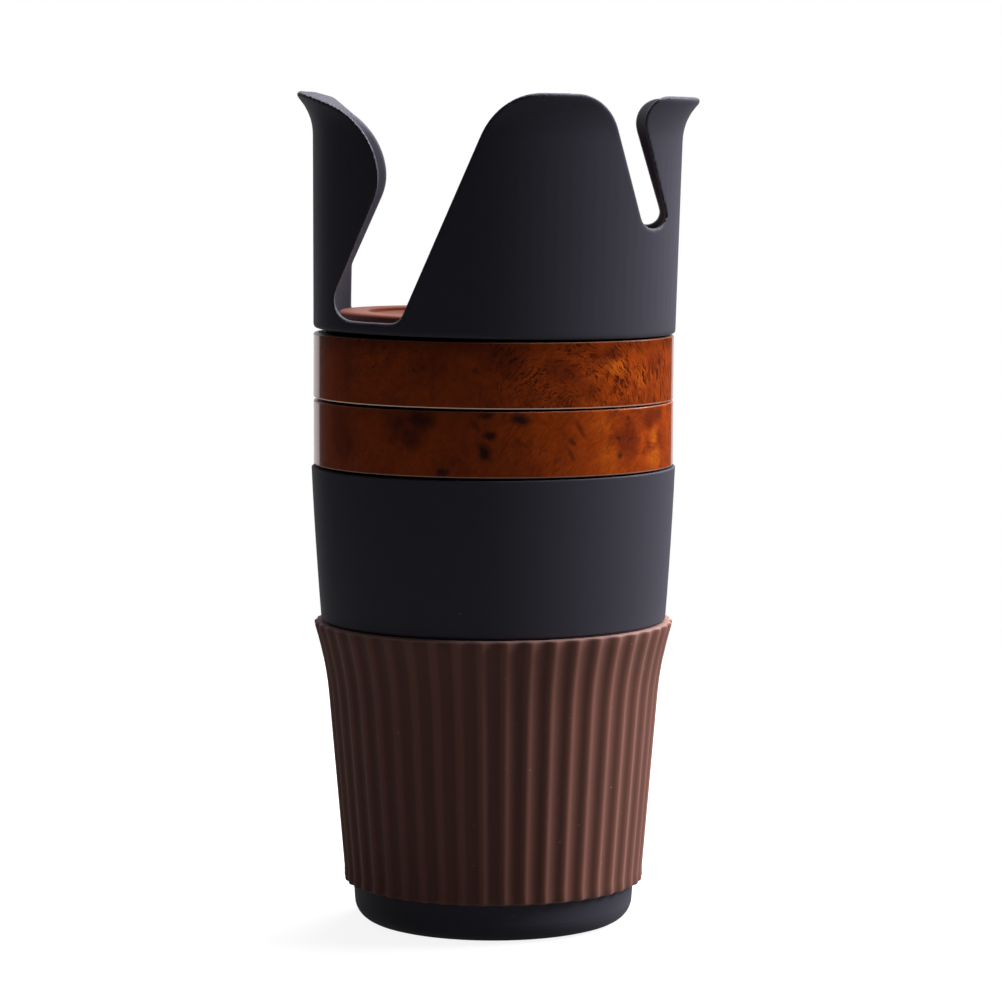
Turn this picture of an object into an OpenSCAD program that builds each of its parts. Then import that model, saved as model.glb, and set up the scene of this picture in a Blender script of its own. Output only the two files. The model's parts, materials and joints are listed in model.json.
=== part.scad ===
// Swivelling cup holder for a car: a deep gripping cup below, two shallow trays with
// wood-grain bands above it, and a petalled cup on top. The three upper layers turn about
// one upright steel post that stands near the left wall.
// The photographed front faces -Y, and the origin is the middle of the foot.

/* [Layers] */
// Height of the deep cup's rim above the foot
cup_h = 105.3; // [100:0.1:115]
// Height of each wood-grain band
band_h = 14.7; // [12:0.1:18]
// Outer radius of the wood-grain bands
band_r = 41.3; // [40.8:0.1:41.8]
// Thickness of a wood-grain band
band_t = 1.1; // [0.8:0.1:1.5]
// Height of the petalled cup
crown_h = 53.8; // [53.8:0.1:58]
// Lean of the lower tray to the right, from play on the post
lower_lean = 0.2; // [0:0.05:0.4]
// Lean of the upper tray to the right, from play on the post
upper_lean = 0.45; // [0.2:0.05:0.6]
// Lean of the petalled cup to the right, from play on the post
crown_lean = 1; // [0.2:0.1:1.2]

/* [Deep cup] */
// How far the cup's rim stands out past the bands
rim_proud = 0.5; // [0.2:0.1:1.5]
// How far the waist above the sleeve lies inside the bands
waist_inset = 1.6; // [0.5:0.1:1.8]
// Rounding under the foot
foot_round = 5; // [2:0.5:6]
// Wall thickness of the deep cup
cup_wall = 2.2; // [1.8:0.1:2.6]
// Thickness of the deep cup's floor
cup_floor = 2.5; // [2:0.1:4]

/* [Grip sleeve] */
// Height of the sleeve's lower edge
sleeve_z0 = 9.1; // [7:0.1:11]
// Height of the sleeve's upper edge
sleeve_z1 = 69.7; // [64:0.1:69.7]
// How far the crests at the lower edge lie inside the bands
sleeve_inset = 6.7; // [6.3:0.05:7.3]
// Growth of the crest radius for each millimetre of height
sleeve_slope = 0.0855; // [0.07:0.0005:0.09]
// Height at which the sleeve starts to flare
flare_z = 52; // [48:1:56]
// Bend radius of the flare
flare_bend = 78; // [70:1:120]
// Number of upright ribs
ribs = 46; // [36:1:50]
// Depth of the valleys between the ribs
rib_depth = 0.7; // [0.4:0.1:0.9]
// Sleeve thickness at a crest
sleeve_t = 2.4; // [2.2:0.1:2.8]

/* [Petalled cup] */
// How far the wall's foot stands out past the bands
crown_proud = 0.2; // [0:0.1:1]
// Growth of the wall's radius up to the flare
crown_draft = 0.7; // [0.4:0.02:0.9]
// Height of the flared lip
flare_h = 10; // [8:0.1:12]
// Bend radius of the flared lip
crown_bend = 12.5; // [11:0.5:16]
// Wall thickness of the petals
crown_wall = 2.5; // [2:0.1:2.6]
// Thickness of the wall at the lip's rounded edge
lip_t = 1.6; // [1.2:0.1:2.4]
// Height of the wide gap's sill
gap_sill = 2.7; // [2.6:0.1:5]
// Level width of the wide gap
gap_w = 17.2; // [14:0.1:18]
// Level width of the narrow slot
slot_w = 6.2; // [4:0.1:6.5]
// Height of the narrow slot's lowest point
slot_sill = 24.3; // [20:0.1:30]

/* [Swivel] */
// Distance of the post's middle from the outside of the bands
post_inset = 8.3; // [7.8:0.1:9]
// Radius of the swivel post
post_r = 2.5; // [2:0.1:2.6]
// Radial running clearance between the post and a bush
running_gap = 0.05; // [0.02:0.01:0.1]
// Wall thickness of a bush
bush_t = 1; // [0.8:0.1:1.1]

/* [Mats] */
// Thickness of the silicone mats in the trays
mat_t = 1.2; // [0.8:0.1:2]
// Gap between the petalled cup's mat and its wall
crown_mat_gap = 3.4; // [2:0.1:5]
// Height of that mat's raised rim
crown_mat_h = 1.9; // [1.9:0.1:2.4]
// Width of the raised rim
crown_mat_rim = 6.6; // [6.6:0.1:11]

/* [Hidden] */

$fn = 96;
cut = 1;                 // how far a cutter runs past a face
reach = band_r + 20;     // half the width of a cutter that clears the whole holder
navy = "#26262e";
cocoa = "#4a2e28";
brick = "#8a4a34";
burl = "#8c3f14";
steel = "#b9bcc0";
nylon = "#e6e2d6";

// Heights of the layers
layer_gap = 0.5;         // rim of the deep cup to the lower tray, in the middle
tray_gap = 0.5;          // lower tray to the upper tray, in the middle
crown_gap = 0.7;         // upper tray to the petalled cup, in the middle
crown_shift = 0.25;      // how far play lets the petalled cup stand to the right
lower_z = cup_h + layer_gap;
upper_z = lower_z + band_h + tray_gap;
crown_z = upper_z + band_h + crown_gap;

// Trays
tray_r = band_r - band_t;
tray_wall = 1.6;
tray_floor = 1.6;
edge = 0.35;             // small chamfer on the bands and trays
mat_gap = 0.4;           // play of a mat inside its wall

// Swivel stack, from the deep cup upwards
pivot_x = post_inset - band_r;
lower_lift = -pivot_x * tan(lower_lean);    // rise of a leaning layer at the post
upper_lift = -pivot_x * tan(upper_lean);
crown_lift = (crown_shift - pivot_x) * tan(crown_lean);
seat_drop = 0.25;        // depth of a washer seat below a layer's face
bush_r = post_r + running_gap + bush_t;
boss_r = 5.2;
boss_bite = 1;           // how far a boss's web runs into its layer's wall
crown_boss_r = 4.6;
washer_r = 4.4;
washer_play = 0.1;       // radial play of a washer on the post
washer_bore_r = post_r + washer_play;
seat_play = 0.2;         // radial play of a washer in its seat
base_seat_z = cup_h - seat_drop;
lower_seat_z = lower_z + lower_lift + seat_drop;
lower_top_z = lower_z + lower_lift + band_h - seat_drop;
upper_seat_z = upper_z + upper_lift + seat_drop;
upper_boss_drop = 5.6;   // top of the upper tray's boss below its band's top
upper_top_z = upper_z + band_h - upper_boss_drop;
crown_washer_t = 1.2;
crown_seat_z = upper_top_z + crown_washer_t;
crown_boss_rise = 1;     // the petalled cup's boss above its bottom edge
crown_boss_top = crown_z + crown_lift + crown_boss_rise;
wave_t = 0.3;
cap_t = 0.6;
cap_z = crown_boss_top + wave_t;
head_z = cap_z + cap_t;
head_t = 1.1;
head_r = 2.8;
screw_r = 1.5;
screw_len = 8;
screw_end = 1;           // room under the screw in the post's bore
cross_l = 3.2;           // cross recess in the screw's head
cross_w = 0.7;
cross_d = 0.6;
boss_low_z = 80;         // lower end of the post's boss in the deep cup
anchor_t = 0.8;
post_head_t = 3.2;
post_head_r = 4.2;
head_room = 0.3;         // play round the screw head and over it

// Deep cup
cup_rim_r = band_r + rim_proud;
cup_waist_r = band_r - waist_inset;
sleeve_foot_r = band_r - sleeve_inset;
lip_gap = 0.25;          // sleeve's edges to the cup's shoulders
foot_flare = 0.3;        // how far the foot widens up to the sleeve's lower edge
foot_top = sleeve_z0 - lip_gap;
shoulder_h = 0.4;
shoulder_z = sleeve_z1 + lip_gap;
sleeve_edge = 3;         // upright edge at the sleeve's foot
inner_round = 4;         // rounding round the deep cup's floor
sleeve_fit = 0.05;       // sleeve's inside to the cup's outside
rim_round = 0.25;
cup_bulge = 0.15;        // how far the wall above the sleeve bows outwards
wall_steps = 6;          // straight lengths that make up the bow

// Mats
crown_mat_r = band_r + crown_proud - crown_wall - crown_mat_gap;
crown_mat_hollow_r = crown_mat_r - crown_mat_rim;
base_mat_t = 2;
groove_step = 8;
groove_w = 2;
groove_d = 0.8;
crown_mat_edge = 0.5;    // chamfer on the crown mat's raised rim

// Petalled cup
crown_foot_r = band_r + crown_proud;
crown_neck_r = crown_foot_r + crown_draft;
crown_neck_z = crown_h - flare_h;
crown_floor = 2.2;
crown_edge = 0.45;       // chamfer under the bottom edge
bend_steps = 8;          // straight lengths that make up the flare's bend
lip_trim = 20;           // part of the lip's half round left to the wall's two faces, in degrees
crown_arch = 0.4;        // height of the floor's underside above the bottom edge
gap_slope = 0.417;       // lean of the wide gap's sides
slot_slope = -0.29;      // lean of the narrow slot's sides
belly_r = 18.3;          // roundness of the left petal's edge
belly_drop = 20;         // that roundness's middle below the top
belly_out = 2.9;         // and outside the wall's foot
belly = [-crown_foot_r - belly_out, crown_h - belly_drop];
belly_turn = 8;          // angle below which the edge bends more tightly
belly_low_r = 13;        // that tighter roundness
belly_low = belly + (belly_r - belly_low_r) * [cos(belly_turn), sin(belly_turn)];
tip_out = 4.5;           // where the petal's top starts to slope, outside the wall's foot
front_tip = [[-crown_foot_r - tip_out, crown_h]];
front_start = 70;        // angle at which the roundness leaves the sloping top
rear_tip_out = 1.5;      // the same at the rear, where the petal is fuller
rear_tip_in = 2.9;
rear_tip_drop = 1.2;
rear_tip = [[-crown_foot_r - rear_tip_out, crown_h],
    [rear_tip_in - crown_foot_r, crown_h - rear_tip_drop]];
rear_start = 55;
rear_inset = 7.75;       // upright left side of the rear gap, from the wall's foot
rear_post_x = rear_inset - crown_foot_r;
rear_step_z = 15;        // above where it meets the gap's sloping side
slot_inset = 1.65;       // the slot's left side at the cup's bottom, from the wall's foot
slot_foot_x = crown_foot_r - slot_inset;
gap_round_l = 4.5;       // lower corners of the wide gap
gap_round_r = 3;
petal_round_l = 15;      // left shoulder of the front petal
petal_round_r = 10.3;     // right shoulder
tip_round = 6;           // upper left corner of the right petal

// Points of an arc round c from angle a0 to a1
function arc(c, r, a0, a1, n) = [for (i = [0 : n]) let (a = a0 + (a1 - a0) * i / n)
    [c[0] + r * cos(a), c[1] + r * sin(a)]];

// Arc of radius r that rounds the corner q on the way from p to s
function unit(v) = v / norm(v);
function rounded(p, q, s, r, n) = let (u = unit(p - q), v = unit(s - q),
    half = acos(u * v) / 2, c = q + unit(u + v) * r / sin(half),
    start = q + u * r / tan(half) - c, end = q + v * r / tan(half) - c,
    a = atan2(start[1], start[0]), b = atan2(end[1], end[0]),
    turn = (b - a + 540) % 360 - 180) arc(c, r, a, a + turn, n);

// Crest radius of the sleeve at height z
function crest_r(z) = sleeve_foot_r + sleeve_slope * max(0, z - sleeve_z0 - sleeve_edge)
    + pow(max(0, z - flare_z), 2) / (2 * flare_bend);

// Radius of the deep cup under the sleeve at height z
function core_r(z) = crest_r(z) - sleeve_t;

// Heights at which the sleeve and the cup inside it share a ring
sleeve_rings = [sleeve_z0, sleeve_z0 + sleeve_edge, flare_z, flare_z + 5, flare_z + 10, flare_z + 14,
                sleeve_z1];

module ring(r_out, r_in, h) {
    difference() {
        cylinder(r = r_out, h = h);
        translate([0, 0, -cut]) cylinder(r = r_in, h = h + 2 * cut);
    }
}

module at_pivot(z) {
    translate([pivot_x, 0, z]) children();
}

// Upright boss round the post, with a web that ends inside the layer's wall
module boss(z, h, wall_low_r, wall_high_r) {
    at_pivot(z) cylinder(r = boss_r, h = h);
    intersection() {
        translate([-band_r, -boss_r, z]) cube([band_r + pivot_x, 2 * boss_r, h]);
        translate([0, 0, z])
            cylinder(r1 = wall_low_r + boss_bite, r2 = wall_high_r + boss_bite, h = h);
    }
}

// Point of the deep cup's bowed upper wall, from the waist (0) to the rim (1)
function upper_wall(t) = [
    cup_waist_r + (cup_rim_r - cup_waist_r) * t + 4 * cup_bulge * t * (1 - t),
    shoulder_z + shoulder_h + (cup_h - rim_round - shoulder_z - shoulder_h) * t];

function cup_outer() = concat(
    [[0, 0]],
    arc([core_r(0) - foot_round, foot_round], foot_round, -90, 0, 8),
    [[core_r(0) + foot_flare, foot_top], [core_r(0), foot_top]],
    [for (z = sleeve_rings) [core_r(z), z]],
    [[core_r(shoulder_z), shoulder_z]],
    [for (i = [0 : wall_steps - 1]) upper_wall(i / wall_steps)],
    arc([cup_rim_r - rim_round, cup_h - rim_round], rim_round, 0, 90, 4),
    [[0, cup_h]]);

function cup_inner() = concat(
    [[0, cup_floor]],
    arc([core_r(0) - cup_wall - inner_round, cup_floor + inner_round], inner_round, -90, 0, 6),
    [for (z = sleeve_rings) [core_r(z) - cup_wall, z]],
    [[cup_rim_r - cup_wall, cup_h], [cup_rim_r - cup_wall, cup_h + cut], [0, cup_h + cut]]);

// Radius of the deep cup's straight upper wall, inside, at height z
function cup_inner_r(z) = let (low = core_r(sleeve_z1), high = cup_rim_r)
    low + (high - low) * (z - sleeve_z1) / (cup_h - sleeve_z1) - cup_wall;

module base_cup() color(navy) {
    difference() {
        union() {
            difference() {
                rotate_extrude() polygon(cup_outer());
                rotate_extrude() polygon(cup_inner());
            }
            boss(boss_low_z, base_seat_z - boss_low_z, cup_inner_r(boss_low_z),
                cup_inner_r(base_seat_z));
        }
        at_pivot(boss_low_z - cut) cylinder(r = post_r, h = cup_h);
    }
}

// One ring of sleeve points, ribbed outside and round inside
sides = ribs * 6;
function ribbed(z) = [for (i = [0 : sides - 1]) let (a = 360 * i / sides,
    r = crest_r(z) - rib_depth * (1 - cos(a * ribs)) / 2) [r * cos(a), r * sin(a), z]];
function lining(z) = [for (i = [0 : sides - 1]) let (a = 360 * i / sides,
    r = core_r(z) + sleeve_fit) [r * cos(a), r * sin(a), z]];

module grip_sleeve() color(cocoa) {
    up = len(sleeve_rings);
    loops = concat([for (z = sleeve_rings) ribbed(z)],
        [for (i = [up - 1 : -1 : 0]) lining(sleeve_rings[i])]);
    total = len(loops);
    points = [for (loop = loops) for (p = loop) p];
    faces = [for (k = [0 : total - 1]) for (i = [0 : sides - 1])
        let (j = (i + 1) % sides, a = k * sides, b = ((k + 1) % total) * sides)
        for (half = [0, 1]) half == 0 ? [a + i, b + j, a + j] : [a + i, b + i, b + j]];
    polyhedron(points = points, faces = faces);
}

// Mat on the deep cup's floor, with two ring grooves
module base_mat() color(brick) {
    translate([0, 0, cup_floor]) difference() {
        cylinder(r = core_r(0) - cup_wall - inner_round, h = base_mat_t);
        for (r = [groove_step, 2 * groove_step])
            translate([0, 0, base_mat_t - groove_d])
                ring(r + groove_w / 2, r - groove_w / 2, cut + groove_d);
    }
}

module swivel_post() color(steel) {
    stem_z = boss_low_z - anchor_t;
    difference() {
        union() {
            at_pivot(stem_z - post_head_t) cylinder(r = post_head_r, h = post_head_t, $fn = 6);
            at_pivot(stem_z) cylinder(r = post_r, h = cap_z - stem_z);
        }
        at_pivot(cap_z - screw_len) cylinder(r = screw_r, h = screw_len + cut);
    }
}

module anchor_washer() color(steel)
    at_pivot(boss_low_z - anchor_t) ring(washer_r, washer_bore_r, anchor_t);

module wave_washer() color(steel)
    at_pivot(crown_boss_top) ring(washer_r - seat_play, washer_bore_r, wave_t);

module cap_washer() color(steel)
    at_pivot(cap_z) ring(washer_r, screw_r, cap_t);

module top_screw() color(steel) {
    difference() {
        union() {
            at_pivot(head_z) cylinder(r = head_r, h = head_t);
            at_pivot(cap_z - screw_len + screw_end)
                cylinder(r = screw_r, h = screw_len - screw_end + cap_t);
        }
        at_pivot(head_z + head_t - cross_d) for (turn = [0, 90]) rotate([0, 0, turn])
            translate([-cross_l / 2, -cross_w / 2, 0]) cube([cross_l, cross_w, cut]);
    }
}

module thrust_washer(z, t) color(nylon) at_pivot(z) ring(washer_r, washer_bore_r, t);
module bush(z, h) color(nylon) at_pivot(z) ring(bush_r, post_r + running_gap, h);

module lower_thrust_washer() thrust_washer(base_seat_z, lower_seat_z - base_seat_z);
module upper_thrust_washer() thrust_washer(lower_top_z, upper_seat_z - lower_top_z);
module crown_thrust_washer() thrust_washer(upper_top_z, crown_washer_t);
module lower_bush() bush(lower_seat_z, lower_top_z - lower_seat_z);
module upper_bush() bush(upper_seat_z, upper_top_z - upper_seat_z);
module crown_bush() bush(crown_seat_z, crown_boss_top - crown_seat_z);

// What stands on a layer that starts at height z and leans to the right
module leaning(z, lean, shift = 0) {
    translate([shift, 0, z]) rotate([0, lean, 0]) children();
}

// Shallow tray from height z, with its boss from seat_z to boss_top
module tray(z, lean, seat_z, boss_top) color(navy) {
    wall_r = tray_r - tray_wall;
    difference() {
        union() {
            leaning(z, lean) difference() {
                rotate_extrude() polygon([[0, 0], [tray_r - edge, 0], [tray_r, edge],
                    [tray_r, band_h - edge], [tray_r - edge, band_h], [0, band_h]]);
                translate([0, 0, tray_floor]) cylinder(r = wall_r, h = band_h);
            }
            boss(seat_z, boss_top - seat_z, wall_r - boss_bite / 2, wall_r - boss_bite / 2);
        }
        at_pivot(z - cut) cylinder(r = bush_r, h = band_h + 2 * cut);
        at_pivot(z - cut) cylinder(r = washer_r + seat_play, h = seat_z - z + cut);
    }
}

module lower_tray() tray(lower_z, lower_lean, lower_seat_z, lower_top_z);
module upper_tray() tray(upper_z, upper_lean, upper_seat_z, upper_top_z);

module band(z, lean) color(burl) leaning(z, lean) rotate_extrude()
    polygon([[tray_r, 0], [band_r - edge, 0], [band_r, edge], [band_r, band_h - edge],
        [band_r - edge, band_h], [tray_r, band_h]]);

module lower_band() band(lower_z, lower_lean);
module upper_band() band(upper_z, upper_lean);

module tray_mat(z, lean) color(brick) difference() {
    hole_r = boss_r + mat_gap;
    leaning(z, lean) translate([0, 0, tray_floor])
        cylinder(r = tray_r - tray_wall - mat_gap, h = mat_t);
    at_pivot(z) cylinder(r = hole_r, h = band_h);
    at_pivot(z) translate([-reach, -hole_r, 0]) cube([reach, 2 * hole_r, band_h]);
}

module lower_mat() tray_mat(lower_z, lower_lean);
module upper_mat() tray_mat(upper_z, upper_lean);

// Half section of the petalled cup's wall and floor
module crown_section() {
    c = [crown_neck_r + crown_bend, crown_neck_z];
    lip_r = lip_t / 2;
    mid_bend = crown_bend + lip_r;
    turn = asin((crown_h - lip_r - crown_neck_z) / mid_bend);
    lip = c + mid_bend * [-cos(turn), sin(turn)];
    outer = concat([[crown_foot_r - crown_edge, 0], [crown_foot_r, crown_edge]],
        arc(c, crown_bend, 180, 180 - turn, bend_steps));
    inner = concat([for (i = [0 : bend_steps]) let (t = i / bend_steps, a = 180 - turn * (1 - t))
        c + (crown_bend + lip_t + (crown_wall - lip_t) * t) * [cos(a), sin(a)]],
        [[crown_foot_r - crown_wall, crown_floor]]);
    polygon(concat([[0, crown_arch], [crown_foot_r - 2 * crown_wall, crown_arch],
        [crown_foot_r - 2 * crown_wall, 0]], outer, arc(lip, lip_r, lip_trim - turn, 180 - lip_trim - turn, 6),
        inner, [[0, crown_floor]]));
}

// Wide gap between the left and the front petals, as seen from the front
module wide_gap(tip, start_a) {
    top = crown_h + cut;
    low_a = -atan(gap_slope);
    low_end = belly_low + belly_low_r * [cos(low_a), sin(low_a)];
    foot_x = low_end[0] - gap_slope * low_end[1];
    left = [foot_x + gap_slope * gap_sill, gap_sill];
    right = left + [gap_w, 0];
    peak = right + (crown_h - gap_sill) * [gap_slope, 1];
    end = peak + [petal_round_l, 0];
    polygon(concat(
        [[-reach, top], [-reach, crown_h]],
        tip,
        arc(belly, belly_r, start_a, belly_turn, 10),
        arc(belly_low, belly_low_r, belly_turn - 5, low_a, 5),
        rounded(low_end, left, right, gap_round_l, 6),
        rounded(left, right, peak, gap_round_r, 6),
        rounded(right, peak, end, petal_round_l, 10),
        [end, end + [0, top - crown_h]]));
}

// Narrow slot between the front and the right petals, as seen from the front
module narrow_slot() {
    top = crown_h + cut;
    side_a = 90 - atan(slot_slope);
    end_r = slot_w * sin(side_a) / 2;
    end_z = slot_sill + end_r;
    c = [slot_foot_x + slot_slope * end_z + slot_w / 2, end_z];
    peak = [slot_foot_x + slot_slope * crown_h, crown_h];
    tip = peak + [slot_w, 0];
    start = peak - [petal_round_r, 0];
    far = tip + [reach, 0];
    curve = arc(c, end_r, side_a + 90, side_a + 270, 12);
    polygon(concat(
        [start],
        rounded(start, peak, curve[0], petal_round_r, 10),
        curve,
        rounded(curve[12], tip, far, tip_round, 8),
        [far, far + [0, top - crown_h], start + [0, top - crown_h]]));
}

module through_cut(y0, y1) {
    translate([0, y1, 0]) rotate([90, 0, 0]) linear_extrude(height = y1 - y0) children();
}

module crown_cup() color(navy) {
    difference() {
        union() {
            leaning(crown_z, crown_lean, crown_shift) difference() {
                rotate_extrude() crown_section();
                through_cut(-reach, 0) wide_gap(front_tip, front_start);
                through_cut(0, reach) difference() {
                    wide_gap(rear_tip, rear_start);
                    translate([rear_post_x - reach, 0]) square([reach, rear_step_z]);
                }
                through_cut(-reach, reach) narrow_slot();
            }
            at_pivot(crown_seat_z) cylinder(r = crown_boss_r, h = crown_boss_top - crown_seat_z);
        }
        at_pivot(crown_seat_z - cut) cylinder(r = bush_r, h = band_h);
        at_pivot(crown_boss_top) cylinder(r = crown_boss_r + seat_play, h = crown_floor + cut);
    }
}

module crown_mat() color(brick) difference() {
    leaning(crown_z, crown_lean, crown_shift) translate([0, 0, crown_floor]) difference() {
        union() {
            cylinder(r = crown_mat_r, h = crown_mat_h - crown_mat_edge);
            translate([0, 0, crown_mat_h - crown_mat_edge])
                cylinder(r1 = crown_mat_r, r2 = crown_mat_r - crown_mat_edge, h = crown_mat_edge);
        }
        translate([0, 0, crown_mat_h / 2]) cylinder(r = crown_mat_hollow_r, h = crown_mat_h);
    }
    at_pivot(crown_z) cylinder(r = washer_r + head_room, h = head_z - crown_z + head_room);
    at_pivot(crown_z) cylinder(r = head_r + head_room, h = head_z + head_t + head_room - crown_z);
}

base_cup();
grip_sleeve();
base_mat();
swivel_post();
anchor_washer();
wave_washer();
cap_washer();
top_screw();
lower_thrust_washer();
lower_bush();
lower_tray();
lower_band();
lower_mat();
upper_thrust_washer();
upper_bush();
upper_tray();
upper_band();
upper_mat();
crown_thrust_washer();
crown_bush();
crown_cup();
crown_mat();
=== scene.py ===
"""Looks of the swivelling car cup holder: soft mouldings, a ribbed sleeve, burl bands and mats."""

import json
import math

import bpy
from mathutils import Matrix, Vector


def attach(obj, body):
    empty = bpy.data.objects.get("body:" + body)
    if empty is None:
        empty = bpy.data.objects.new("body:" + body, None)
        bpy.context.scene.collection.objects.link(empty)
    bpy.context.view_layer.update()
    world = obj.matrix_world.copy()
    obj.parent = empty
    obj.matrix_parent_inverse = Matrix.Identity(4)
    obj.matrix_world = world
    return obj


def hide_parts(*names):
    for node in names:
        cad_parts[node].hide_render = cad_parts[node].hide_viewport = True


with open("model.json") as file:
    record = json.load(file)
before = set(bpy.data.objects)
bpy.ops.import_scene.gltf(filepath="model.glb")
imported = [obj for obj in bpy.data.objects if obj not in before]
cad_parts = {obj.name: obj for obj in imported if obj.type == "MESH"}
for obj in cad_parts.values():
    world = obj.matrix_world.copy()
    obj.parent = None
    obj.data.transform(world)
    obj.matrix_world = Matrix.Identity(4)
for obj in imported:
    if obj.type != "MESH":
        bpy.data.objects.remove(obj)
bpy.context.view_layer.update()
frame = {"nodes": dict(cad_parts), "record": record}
cad = frame["nodes"]

MM = 0.001
# The object is written in millimetres, with leans in degrees to the right; the stage is in metres.
SLEEVE_FOOT = 9.1
SLEEVE_TOP = 69.7
RIBS = 46
RIB_DEPTH = 0.7
BAND_R = 41.3
BAND_H = 14.7
BAND_WALL = 1.08
LOWER_Z, LOWER_LEAN = 105.8, 0.2
UPPER_Z, UPPER_LEAN = 121.0, 0.45
CROWN_Z, CROWN_LEAN, CROWN_SHIFT = 136.4, 1.0, 0.25
POST_X = -33.0

# Distances in metres below which points are joined.
CLOSE = 1e-6
CLOSE_IN_SECTION = 1e-7
CLOSE_BETWEEN_RIBS = 2e-6

# ---------------------------------------------------------------- making pieces


def select_none():
    if bpy.context.object and bpy.context.object.mode != "OBJECT":
        bpy.ops.object.mode_set(mode="OBJECT")
    bpy.ops.object.select_all(action="DESELECT")


def take_up(piece):
    """Makes piece the only selected and active object."""
    select_none()
    piece.select_set(True)
    bpy.context.view_layer.objects.active = piece


def finish_with(piece, kind, **settings):
    """Adds one modifier to piece and applies it."""
    take_up(piece)
    modifier = piece.modifiers.new(kind.lower(), kind)
    for key, value in settings.items():
        setattr(modifier, key, value)
    bpy.ops.object.modifier_apply(modifier=modifier.name)


def smooth(piece, angle):
    """Shades a piece smooth, apart from its edges sharper than that angle in degrees."""
    take_up(piece)
    bpy.ops.object.shade_smooth_by_angle(angle=math.radians(angle))


def merged_copy(node, name):
    """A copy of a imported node's mesh with its loose triangles joined."""
    piece = bpy.data.objects.new(name, cad[node].data.copy())
    bpy.context.scene.collection.objects.link(piece)
    take_up(piece)
    bpy.ops.mesh.customdata_custom_splitnormals_clear()
    bpy.ops.object.mode_set(mode="EDIT")
    bpy.ops.mesh.select_all(action="SELECT")
    bpy.ops.mesh.remove_doubles(threshold=CLOSE)
    bpy.ops.object.mode_set(mode="OBJECT")
    return piece


def draw_section(name, section):
    """Draws a half section in the XZ plane as a chain of points pulled out of one point."""
    select_none()
    bpy.ops.mesh.primitive_plane_add(size=MM)
    piece = bpy.context.object
    piece.name = name
    piece.data.name = name
    bpy.ops.object.mode_set(mode="EDIT")
    bpy.ops.mesh.merge(type="CENTER")
    bpy.ops.transform.translate(value=(section[0][0] * MM, 0, section[0][1] * MM))
    for (r0, z0), (r1, z1) in zip(section, section[1:]):
        bpy.ops.mesh.extrude_region_move(
            TRANSFORM_OT_translate={"value": ((r1 - r0) * MM, 0, (z1 - z0) * MM)}
        )
    return piece


def turned(name, section, steps, closed=True):
    """A turned piece: its half section is drawn and spun about the upright axis.

    closed False is for a section that starts and ends on the axis.
    """
    if closed:
        section = list(section) + [section[0]]
    piece = draw_section(name, section)
    bpy.ops.mesh.select_all(action="SELECT")
    bpy.ops.mesh.remove_doubles(threshold=CLOSE_IN_SECTION)
    bpy.ops.mesh.select_all(action="SELECT")
    bpy.ops.mesh.spin(steps=steps, angle=math.tau, center=(0, 0, 0), axis=(0, 0, 1))
    bpy.ops.mesh.select_all(action="SELECT")
    bpy.ops.mesh.remove_doubles(threshold=CLOSE)
    bpy.ops.mesh.normals_make_consistent(inside=False)
    bpy.ops.object.mode_set(mode="OBJECT")
    return piece


def corner(r, z, size, start, steps):
    """Points of a quarter round of that size about (r, z), from the start angle in degrees."""
    return [
        (
            r + size * math.cos(math.radians(start + 90 * i / steps)),
            z + size * math.sin(math.radians(start + 90 * i / steps)),
        )
        for i in range(steps + 1)
    ]


def dress(piece, material, body, node):
    """Gives a finished piece its material and body, and hides the node that it stands for."""
    piece.data.materials.clear()
    piece.data.materials.append(material)
    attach(piece, body)
    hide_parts(node)


# ---------------------------------------------------------------- node helpers


def wire(tree, source, target):
    tree.links.new(source, target)


def add(tree, kind, **values):
    node = tree.nodes.new(kind)
    for key, value in values.items():
        setattr(node, key, value)
    return node


def maths(tree, operation, a, b=None, clamp=False):
    """One sum; a and b may be numbers or sockets."""
    node = add(tree, "ShaderNodeMath", operation=operation, use_clamp=clamp)
    for socket, value in zip(node.inputs, (a, b)):
        if value is None:
            continue
        if isinstance(value, (int, float)):
            socket.default_value = value
        else:
            wire(tree, value, socket)
    return node.outputs[0]


def band_of(tree, value, low, high, out_low=0.0, out_high=1.0):
    """Smoothly maps value from low..high to out_low..out_high."""
    node = add(tree, "ShaderNodeMapRange", interpolation_type="SMOOTHSTEP")
    wire(tree, value, node.inputs["Value"])
    node.inputs["From Min"].default_value = low
    node.inputs["From Max"].default_value = high
    node.inputs["To Min"].default_value = out_low
    node.inputs["To Max"].default_value = out_high
    return node.outputs["Result"]


def noise(tree, vector, scale, detail, roughness, distortion=0.0):
    """A noise texture; its scale is in grains for each metre."""
    node = add(tree, "ShaderNodeTexNoise", noise_dimensions="3D")
    wire(tree, vector, node.inputs["Vector"])
    node.inputs["Scale"].default_value = scale
    node.inputs["Detail"].default_value = detail
    node.inputs["Roughness"].default_value = roughness
    node.inputs["Distortion"].default_value = distortion
    return node


def blend_colour(tree, factor, a, b):
    """Mixes colour a with colour b by factor; each of them may be a value or a socket."""
    node = add(tree, "ShaderNodeMix", data_type="RGBA", blend_type="MIX")
    for socket, value in ((node.inputs[0], factor), (node.inputs[6], a), (node.inputs[7], b)):
        if isinstance(value, (int, float)):
            socket.default_value = value
        elif isinstance(value, tuple):
            socket.default_value = (*value, 1)
        else:
            wire(tree, value, socket)
    return node.outputs[2]


def new_group(name, inputs, outputs):
    """An empty shader node group with named inputs and outputs."""
    group = bpy.data.node_groups.new(name, "ShaderNodeTree")
    for label, kind, value in inputs:
        socket = group.interface.new_socket(label, in_out="INPUT", socket_type=kind)
        if value is not None:
            socket.default_value = value
    for label, kind in outputs:
        group.interface.new_socket(label, in_out="OUTPUT", socket_type=kind)
    return group, group.nodes.new("NodeGroupInput"), group.nodes.new("NodeGroupOutput")


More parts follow.
